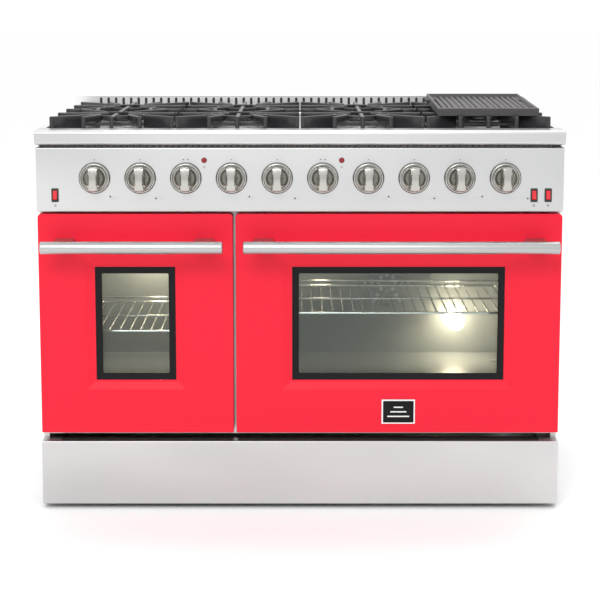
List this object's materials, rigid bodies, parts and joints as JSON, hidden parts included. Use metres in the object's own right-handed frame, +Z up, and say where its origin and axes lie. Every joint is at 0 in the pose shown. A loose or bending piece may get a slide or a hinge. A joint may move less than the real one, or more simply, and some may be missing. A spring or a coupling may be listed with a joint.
{
  "type": "freestanding gas range",
  "caption": "Wide freestanding gas range with a small and a large oven behind red doors, burners under cast-iron grates, a griddle, turning knobs and hinged doors.",
  "frame": {"origin": "centre of the bounding box, on the floor under the feet", "axes": "+X to the right seen from the front, +Y to the back, +Z up"},
  "size_m": [1.219, 0.7764, 0.9577],
  "materials": {
    "brushed_stainless": "brushed",
    "galvanised": "zinc-coated sheet",
    "dark_sheet": "matt black",
    "red_enamel": "gloss enamel",
    "oven_enamel": "porcelain enamel",
    "cast_iron": "matt enamelled",
    "cap_enamel": "black enamel",
    "burner_metal": "cast",
    "knob_metal": "brushed, warm grey",
    "bezel_metal": "brushed",
    "handle_metal": "fine brushed",
    "window_glass": "clear, black border",
    "switch_black": "gloss",
    "switch_red": "gloss",
    "lamp_red": "clear red",
    "lamp_glass": "frosted",
    "rack_wire": "chromed wire",
    "gasket": "woven",
    "insulation": "mineral wool",
    "pipe_steel": "black pipe",
    "valve_brass": "machined",
    "igniter": "glazed",
    "badge_black": "gloss",
    "foot": "zinc"
  },
  "bodies": {
    "range_body": {"back_guard": "brushed_stainless", "back_panel": "galvanised", "base_pan": "galvanised", "burner_caps": "cap_enamel", "burner_heads": "burner_metal", "burner_igniters": "igniter", "control_panel": "brushed_stainless", "cooktop_pan": "brushed_stainless", "door_gaskets": "gasket", "fan_cover": "oven_enamel", "fan_motor": "galvanised", "front_frame": "brushed_stainless", "front_rail": "brushed_stainless", "gas_manifold": "pipe_steel", "gas_valves": "valve_brass", "hinge_brackets": "foot", "indicator_lamps": "lamp_red", "kick_plate": "brushed_stainless", "knob_bezels": "bezel_metal", "left_oven_liner": "oven_enamel", "levelling_legs": "foot", "oven_burners": "dark_sheet", "oven_insulation": "insulation", "oven_lamps": "lamp_glass", "power_inlet": "switch_black", "rack_guides": "rack_wire", "right_oven_liner": "oven_enamel", "side_panels": "brushed_stainless", "switch_frames": "switch_black", "vent_strip": "dark_sheet"},
    "left_door": {"left_door_skin": "red_enamel", "left_door_liner": "oven_enamel", "left_door_glass": "window_glass", "left_door_handle": "handle_metal"},
    "right_door": {"right_door_skin": "red_enamel", "right_door_liner": "oven_enamel", "right_door_glass": "window_glass", "right_door_handle": "handle_metal", "badge": "badge_black"},
    "knob_1": {"knob_1": "knob_metal"},
    "knob_2": {"knob_2": "knob_metal"},
    "knob_3": {"knob_3": "knob_metal"},
    "knob_4": {"knob_4": "knob_metal"},
    "knob_5": {"knob_5": "knob_metal"},
    "knob_6": {"knob_6": "knob_metal"},
    "knob_7": {"knob_7": "knob_metal"},
    "knob_8": {"knob_8": "knob_metal"},
    "knob_9": {"knob_9": "knob_metal"},
    "knob_10": {"knob_10": "knob_metal"},
    "rocker_1": {"rocker_1": "switch_red"},
    "rocker_2": {"rocker_2": "switch_red"},
    "rocker_3": {"rocker_3": "switch_red"},
    "grate_1": {"grate_1": "cast_iron"},
    "grate_2": {"grate_2": "cast_iron"},
    "grate_3": {"grate_3": "cast_iron"},
    "grate_4": {"grate_4": "cast_iron"},
    "griddle": {"griddle": "cast_iron"},
    "left_rack": {"left_oven_rack": "rack_wire"},
    "right_rack": {"right_oven_rack": "rack_wire"},
    "fan": {"fan_blade": "galvanised"}
  },
  "joints": [
    {"name": "left_door_hinge", "type": "hinge", "parent": "range_body", "child": "left_door", "pos_m": [-0.382, -0.28375, 0.19], "axis": [1, 0, 0], "range_deg": [0, 90], "stiffness_Nm_per_rad": 11, "springref_deg": -14.32},
    {"name": "right_door_hinge", "type": "hinge", "parent": "range_body", "child": "right_door", "pos_m": [0.22925, -0.28375, 0.19], "axis": [1, 0, 0], "range_deg": [0, 90], "stiffness_Nm_per_rad": 18, "springref_deg": -14.32},
    {"name": "knob_1_turn", "type": "hinge", "parent": "range_body", "child": "knob_1", "pos_m": [-0.4734, -0.32575, 0.7896], "axis": [0, -1, 0], "range_deg": [0, 270]},
    {"name": "knob_2_turn", "type": "hinge", "parent": "range_body", "child": "knob_2", "pos_m": [-0.3682, -0.32575, 0.7896], "axis": [0, -1, 0], "range_deg": [0, 270]},
    {"name": "knob_3_turn", "type": "hinge", "parent": "range_body", "child": "knob_3", "pos_m": [-0.263, -0.32575, 0.7896], "axis": [0, -1, 0], "range_deg": [0, 300]},
    {"name": "knob_4_turn", "type": "hinge", "parent": "range_body", "child": "knob_4", "pos_m": [-0.1578, -0.32575, 0.7896], "axis": [0, -1, 0], "range_deg": [0, 270]},
    {"name": "knob_5_turn", "type": "hinge", "parent": "range_body", "child": "knob_5", "pos_m": [-0.0526, -0.32575, 0.7896], "axis": [0, -1, 0], "range_deg": [0, 270]},
    {"name": "knob_6_turn", "type": "hinge", "parent": "range_body", "child": "knob_6", "pos_m": [0.0526, -0.32575, 0.7896], "axis": [0, -1, 0], "range_deg": [0, 300]},
    {"name": "knob_7_turn", "type": "hinge", "parent": "range_body", "child": "knob_7", "pos_m": [0.1578, -0.32575, 0.7896], "axis": [0, -1, 0], "range_deg": [0, 270]},
    {"name": "knob_8_turn", "type": "hinge", "parent": "range_body", "child": "knob_8", "pos_m": [0.263, -0.32575, 0.7896], "axis": [0, -1, 0], "range_deg": [0, 270]},
    {"name": "knob_9_turn", "type": "hinge", "parent": "range_body", "child": "knob_9", "pos_m": [0.3682, -0.32575, 0.7896], "axis": [0, -1, 0], "range_deg": [0, 270]},
    {"name": "knob_10_turn", "type": "hinge", "parent": "range_body", "child": "knob_10", "pos_m": [0.4734, -0.32575, 0.7896], "axis": [0, -1, 0], "range_deg": [0, 270]},
    {"name": "rocker_1_tilt", "type": "hinge", "parent": "range_body", "child": "rocker_1", "pos_m": [-0.565, -0.30375, 0.75], "axis": [1, 0, 0], "range_deg": [0, 16]},
    {"name": "rocker_2_tilt", "type": "hinge", "parent": "range_body", "child": "rocker_2", "pos_m": [0.54, -0.30375, 0.75], "axis": [1, 0, 0], "range_deg": [0, 16]},
    {"name": "rocker_3_tilt", "type": "hinge", "parent": "range_body", "child": "rocker_3", "pos_m": [0.5725, -0.30375, 0.75], "axis": [1, 0, 0], "range_deg": [0, 16]},
    {"name": "grate_1_lift", "type": "slide", "parent": "range_body", "child": "grate_1", "axis": [0, 0, 1], "range_m": [0, 0.12]},
    {"name": "grate_2_lift", "type": "slide", "parent": "range_body", "child": "grate_2", "axis": [0, 0, 1], "range_m": [0, 0.12]},
    {"name": "grate_3_lift", "type": "slide", "parent": "range_body", "child": "grate_3", "axis": [0, 0, 1], "range_m": [0, 0.12]},
    {"name": "grate_4_lift", "type": "slide", "parent": "range_body", "child": "grate_4", "axis": [0, 0, 1], "range_m": [0, 0.12]},
    {"name": "griddle_lift", "type": "slide", "parent": "grate_4", "child": "griddle", "axis": [0, 0, 1], "range_m": [0, 0.1]},
    {"name": "left_rack_slide", "type": "slide", "parent": "range_body", "child": "left_rack", "axis": [0, -1, 0], "range_m": [0, 0.045]},
    {"name": "right_rack_slide", "type": "slide", "parent": "range_body", "child": "right_rack", "axis": [0, -1, 0], "range_m": [0, 0.045]},
    {"name": "fan_spin", "type": "hinge", "parent": "range_body", "child": "fan", "pos_m": [0.229, 0.18625, 0.456], "axis": [0, 1, 0], "continuous": true}
  ]
}
